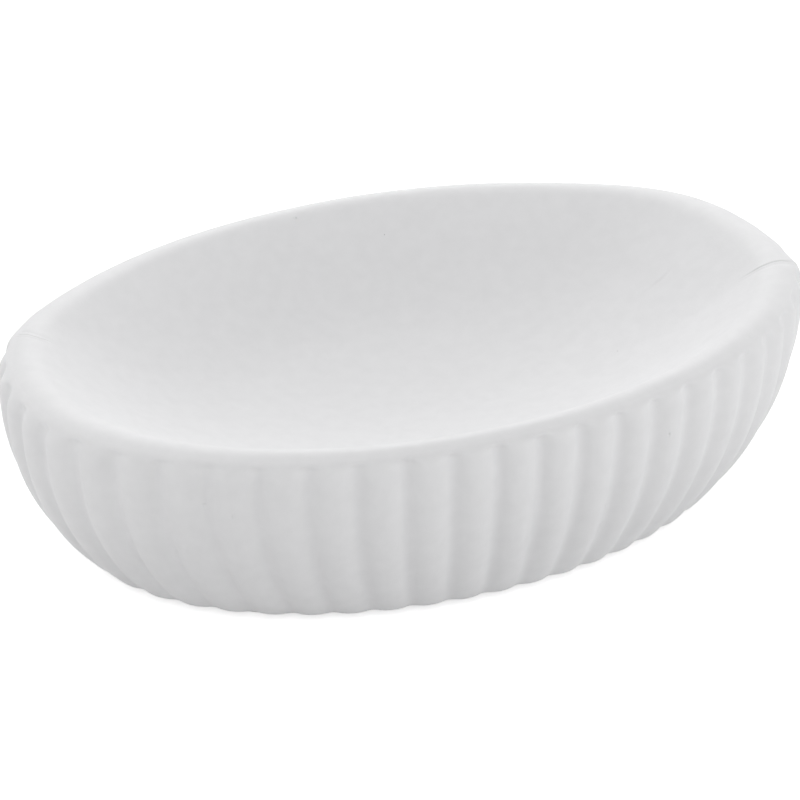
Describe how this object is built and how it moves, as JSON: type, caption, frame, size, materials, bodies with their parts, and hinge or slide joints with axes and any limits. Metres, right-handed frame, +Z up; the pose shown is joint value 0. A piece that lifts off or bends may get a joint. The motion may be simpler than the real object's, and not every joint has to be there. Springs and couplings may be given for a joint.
{
  "type": "soap dish",
  "caption": "Oval reeded soap dish: a shallow basin with a smooth rim, upright rounded reeds round a bowed wall, and soft pads under the foot.",
  "frame": {"origin": "on the surface the dish stands on, under the middle of the dish", "axes": "+X along the dish's length, +Y across it to the back, +Z up out of the basin"},
  "size_m": [0.1396, 0.0938, 0.0341],
  "materials": {
    "dish_body": "matte, cast, with fine pits",
    "foot_pad": "matte"
  },
  "bodies": {
    "root": {"dish_body": "dish_body", "foot_pad_front_left": "foot_pad", "foot_pad_front_right": "foot_pad", "foot_pad_back_left": "foot_pad", "foot_pad_back_right": "foot_pad"}
  },
  "joints": []
}
